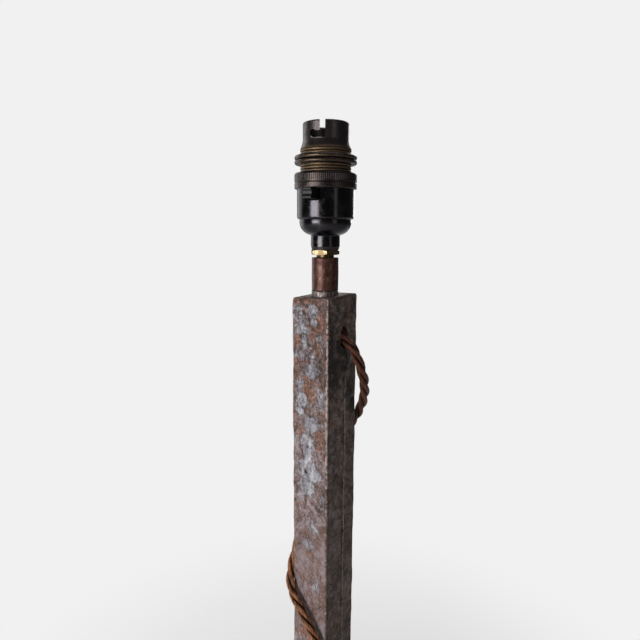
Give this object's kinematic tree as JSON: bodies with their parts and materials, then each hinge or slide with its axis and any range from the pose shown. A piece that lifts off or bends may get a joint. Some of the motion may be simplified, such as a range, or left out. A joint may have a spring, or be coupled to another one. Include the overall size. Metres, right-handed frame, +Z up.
{
  "type": "iron table lamp with bayonet lampholder",
  "caption": "Rusted square iron table lamp: bronze bayonet lampholder with push-bar switch and shade ring, brown twisted flex wrapped round the stem, plug and coiled cord",
  "frame": {"origin": "on the table, under the middle of the square foot plate", "axes": "+Z up along the stem; X and Y along the sides of the square post, with the seam and the cord slot on the +X face"},
  "size_m": [0.2544, 0.16, 0.4467],
  "materials": {
    "rusted_iron": "flaking rust over bare iron",
    "zinc_steel": "plain",
    "black_bronze": "polished dark bronze",
    "brass": "bright",
    "black_moulding": "moulded",
    "felt": "felt",
    "brown_braid": "braided",
    "core_sheath": "smooth",
    "tie_leather": "plain",
    "plug_moulding": "moulded",
    "fuse_ceramic": "plain"
  },
  "bodies": {
    "lamp": {"felt_pads": "felt", "base_plate": "rusted_iron", "base_washer": "zinc_steel", "base_bolt": "zinc_steel", "foot_block": "zinc_steel", "post": "rusted_iron", "post_cap": "rusted_iron", "spigot_collar": "rusted_iron", "spigot_tube": "rusted_iron", "nipple": "zinc_steel", "lock_nut": "brass", "entry_bush": "black_bronze", "cap_shell": "black_bronze", "union_ring": "black_bronze", "lamp_sleeve": "black_bronze", "insulator_block": "black_moulding", "live_spring": "zinc_steel", "neutral_spring": "zinc_steel", "live_terminal": "brass", "neutral_terminal": "brass", "terminal_screws": "zinc_steel", "earth_lug": "brass", "earth_screw": "zinc_steel", "live_core": "core_sheath", "neutral_core": "core_sheath", "earth_core": "core_sheath", "cord_inside": "brown_braid", "cord_wrap": "brown_braid", "cord_coil": "brown_braid", "cord_tie": "tie_leather", "cord_tail": "brown_braid", "plug_cover": "plug_moulding", "plug_base": "plug_moulding", "plug_earth_pin": "brass", "plug_live_pin": "brass", "plug_neutral_pin": "brass", "plug_fuse": "fuse_ceramic", "plug_cord_grip": "plug_moulding", "plug_screws": "zinc_steel"},
    "push_bar": {"push_bar": "black_moulding", "switch_bridge": "brass"},
    "live_plunger": {"live_plunger": "brass"},
    "neutral_plunger": {"neutral_plunger": "brass"},
    "shade_ring": {"shade_ring": "black_bronze"}
  },
  "joints": [
    {"name": "push_bar_slide", "type": "slide", "parent": "lamp", "child": "push_bar", "axis": [0.309, -0.9511, 0], "range_m": [-0.006, 0]},
    {"name": "live_plunger_slide", "type": "slide", "parent": "lamp", "child": "live_plunger", "axis": [0, 0, 1], "range_m": [-0.004, 0], "stiffness_N_per_m": 400, "springref_m": 0.004, "deforming": ["live_spring"]},
    {"name": "neutral_plunger_slide", "type": "slide", "parent": "lamp", "child": "neutral_plunger", "axis": [0, 0, 1], "range_m": [-0.004, 0], "stiffness_N_per_m": 400, "springref_m": 0.004, "deforming": ["neutral_spring"]},
    {"name": "shade_ring_travel", "type": "slide", "parent": "lamp", "child": "shade_ring", "axis": [0, 0, 1], "range_m": [-0.003, 0.003]}
  ]
}
